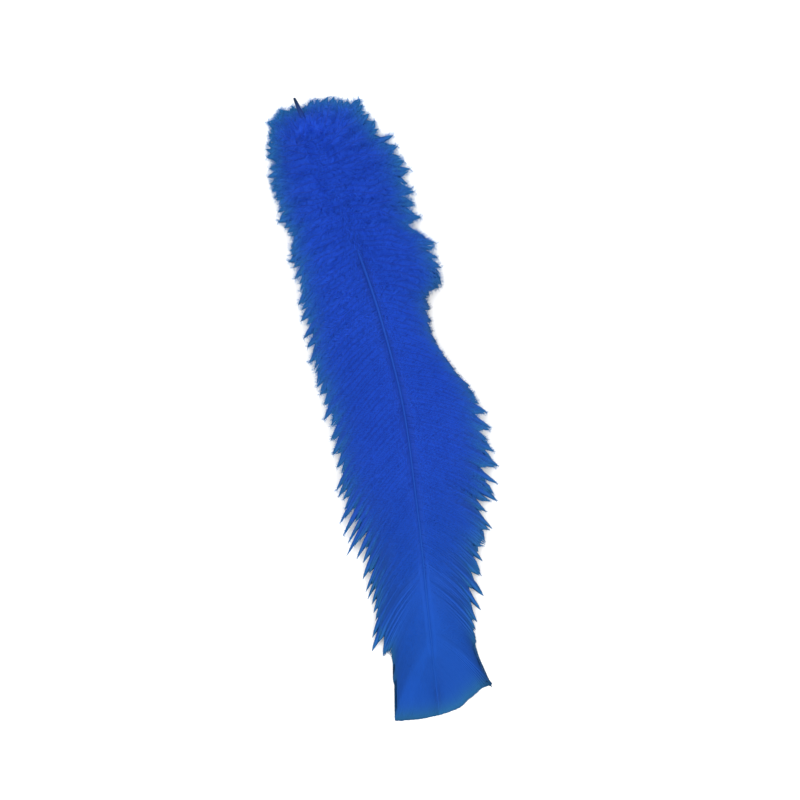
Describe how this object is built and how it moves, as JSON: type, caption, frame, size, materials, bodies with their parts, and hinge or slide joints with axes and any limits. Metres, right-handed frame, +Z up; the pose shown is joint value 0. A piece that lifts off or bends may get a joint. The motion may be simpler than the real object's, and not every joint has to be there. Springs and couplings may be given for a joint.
{
  "type": "turkey feather",
  "caption": "Dyed blue turkey body feather with a downy base and a squared-off flat tip, lying with its outer face up.",
  "frame": {"origin": "on the surface that the feather lies on, under the middle of its box", "axes": "+Y from the flat tip towards the quill's end, +X across the vane to the right as seen from above with the quill at the top, +Z up out of the outer face"},
  "size_m": [0.0316, 0.1206, 0.0091],
  "materials": {
    "dyed_feather": "soft dyed keratin barbs, matte down at the base and a faint sheen at the tip"
  },
  "bodies": {
    "root": {"feather": "dyed_feather"}
  },
  "joints": []
}
